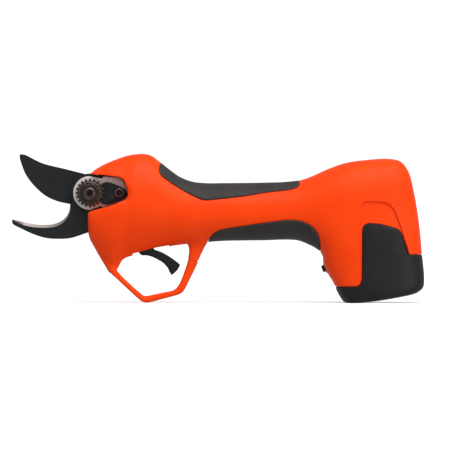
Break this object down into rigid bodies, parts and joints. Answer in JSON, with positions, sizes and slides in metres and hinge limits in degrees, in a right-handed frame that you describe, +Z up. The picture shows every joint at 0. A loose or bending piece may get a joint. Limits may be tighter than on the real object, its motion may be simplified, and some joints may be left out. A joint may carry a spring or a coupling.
{
  "type": "battery electric pruner",
  "caption": "One-hand battery pruner: a geared hooked blade closes on a fixed jaw when the guarded trigger is pulled; battery slides out of the tail.",
  "frame": {"origin": "bottom centre of the bounding box, on the surface the tool stands on", "axes": "+X from the jaw to the battery, along the tool; +Y from the tool's left side to its right; +Z up"},
  "size_m": [0.2898, 0.049, 0.1048],
  "materials": {
    "orange_housing": "satin moulded",
    "black_rubber": "soft matt",
    "black_plastic": "matt moulded",
    "battery_plastic": "fine texture",
    "coated_blade": "dark non-stick coating",
    "dark_steel": "blackened, worn edges",
    "bright_steel": "ground",
    "bush_brass": "plain",
    "board_green": "circuit board",
    "cell_wrap": "shrink wrap"
  },
  "bodies": {
    "housing": {"housing_left": "orange_housing", "housing_right": "orange_housing", "trigger_guard": "orange_housing", "grip_upper_left": "black_rubber", "grip_upper_right": "black_rubber", "grip_lower_left": "black_rubber", "grip_lower_right": "black_rubber", "button_bezel": "black_plastic", "power_switch": "black_plastic", "terminal_block": "black_plastic", "fixed_jaw": "coated_blade", "adjusting_nut": "dark_steel", "lock_plate": "dark_steel", "pivot_bolt": "dark_steel", "motor": "dark_steel", "jaw_screw_1": "dark_steel", "jaw_screw_2": "dark_steel", "housing_screw_1": "dark_steel", "housing_screw_2": "dark_steel", "housing_screw_3": "dark_steel", "housing_screw_4": "dark_steel", "housing_screw_5": "dark_steel", "housing_screw_6": "dark_steel", "housing_screw_7": "dark_steel", "housing_screw_8": "dark_steel", "housing_screw_9": "dark_steel", "cover_plate": "bright_steel", "lock_screw": "bright_steel", "head_frame": "bright_steel", "pinion_bearing": "bright_steel", "gearbox": "bright_steel", "trigger_pin": "bright_steel", "trigger_spring": "bright_steel", "control_board": "board_green", "trigger_sensor": "board_green"},
    "blade": {"moving_blade": "coated_blade", "blade_gear": "dark_steel", "pivot_bush": "bush_brass"},
    "pinion": {"bevel_pinion": "dark_steel"},
    "trigger": {"trigger": "black_plastic"},
    "button": {"power_button": "black_plastic"},
    "battery": {"battery_base": "battery_plastic", "battery_sleeve": "battery_plastic", "battery_board": "board_green", "battery_cell_1": "cell_wrap", "battery_cell_2": "cell_wrap", "battery_cell_3": "cell_wrap", "battery_cell_4": "cell_wrap", "battery_cell_5": "cell_wrap"},
    "latch_left": {"battery_latch_left": "battery_plastic"},
    "latch_right": {"battery_latch_right": "battery_plastic"}
  },
  "joints": [
    {"name": "blade_pivot", "type": "hinge", "parent": "housing", "child": "blade", "pos_m": [-0.0898, 0, 0.0772], "axis": [0, -1, 0], "range_deg": [0, 50]},
    {"name": "pinion_spin", "type": "hinge", "parent": "housing", "child": "pinion", "pos_m": [-0.07039, 0.0015, 0.07447], "axis": [0.9903, 0, -0.1392], "range_deg": [0, 200]},
    {"name": "trigger_pull", "type": "hinge", "parent": "housing", "child": "trigger", "pos_m": [-0.0535, 0, 0.045], "axis": [0, -1, 0], "range_deg": [0, 11], "stiffness_Nm_per_rad": 0.4},
    {"name": "button_press", "type": "slide", "parent": "housing", "child": "button", "axis": [0.9397, 0, 0.3419], "range_m": [0, 0.001], "stiffness_N_per_m": 400},
    {"name": "battery_slide", "type": "slide", "parent": "housing", "child": "battery", "axis": [0.1271, 0, -0.9919], "range_m": [0, 0.085]},
    {"name": "latch_left_press", "type": "hinge", "parent": "battery", "child": "latch_left", "pos_m": [0.117, -0.023, 0.035], "axis": [-1, 0, 0], "range_deg": [0, 2.5], "stiffness_Nm_per_rad": 0.5},
    {"name": "latch_right_press", "type": "hinge", "parent": "battery", "child": "latch_right", "pos_m": [0.117, 0.023, 0.035], "axis": [1, 0, 0], "range_deg": [0, 2.5], "stiffness_Nm_per_rad": 0.5}
  ],
  "couplings": [
    {"joint": "pinion_spin", "follows": "blade_pivot", "ratio": 4}
  ]
}
